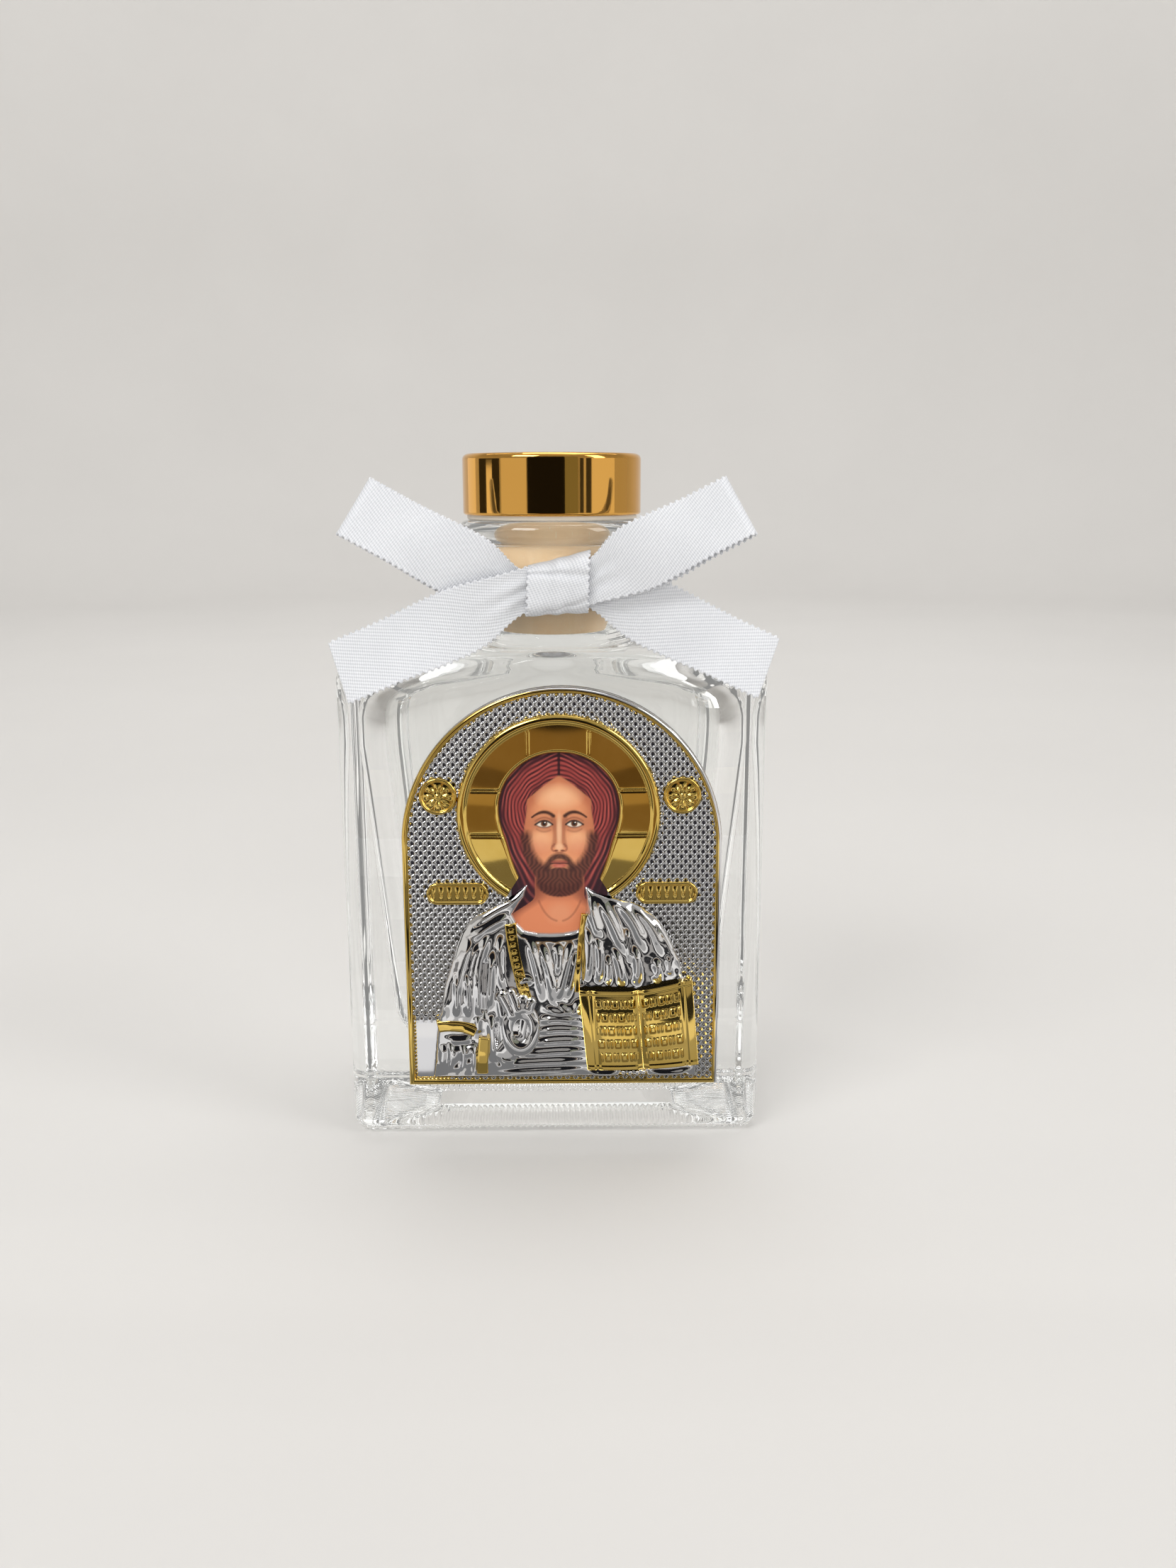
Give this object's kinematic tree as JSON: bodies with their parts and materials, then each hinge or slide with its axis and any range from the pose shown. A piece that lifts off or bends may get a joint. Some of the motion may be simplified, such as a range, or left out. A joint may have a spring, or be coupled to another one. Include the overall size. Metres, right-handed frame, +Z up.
{
  "type": "holy water bottle",
  "caption": "Flat glass bottle for holy water with a gilt push-in stopper, a satin bow round its neck and an arched silver and gilt icon plaque on its front.",
  "frame": {"origin": "centre of the standing face", "axes": "+Z up along the bottle's axis, -Y out of the front face that carries the plaque, +X to the viewer's right"},
  "size_m": [0.0665, 0.0404, 0.1072],
  "materials": {
    "flint_glass": "clear",
    "gilt_cap": "polished",
    "cap_plastic": "satin",
    "plug_polymer": "satin, fine sparkle",
    "white_satin": "satin",
    "foam_pad": "matte",
    "backing_board": "matte",
    "silver_sheet": "embossed, polished",
    "gilt_sheet": "polished",
    "printed_card": "printed"
  },
  "bodies": {
    "bottle": {"glass_bottle": "flint_glass", "ribbon_band": "white_satin", "ribbon_knot": "white_satin", "ribbon_loop_left": "white_satin", "ribbon_loop_right": "white_satin", "ribbon_tail_left": "white_satin", "ribbon_tail_right": "white_satin", "plaque_adhesive": "foam_pad", "plaque_backing": "backing_board", "plaque_field": "silver_sheet", "plaque_rim": "gilt_sheet", "halo": "gilt_sheet", "face_panel": "printed_card", "robe": "silver_sheet", "blessing_hand": "silver_sheet", "robe_stripe": "gilt_sheet", "robe_cuffs": "gilt_sheet", "mantle_hem": "gilt_sheet", "open_book": "gilt_sheet", "roundel_left": "gilt_sheet", "roundel_right": "gilt_sheet", "title_plate_left": "gilt_sheet", "title_plate_right": "gilt_sheet"},
    "stopper": {"cap_shell": "gilt_cap", "cap_insert": "cap_plastic", "stopper_plug": "plug_polymer"}
  },
  "joints": [
    {"name": "stopper_lift", "type": "slide", "parent": "bottle", "child": "stopper", "axis": [0, 0, 1], "range_m": [0, 0.03]}
  ]
}
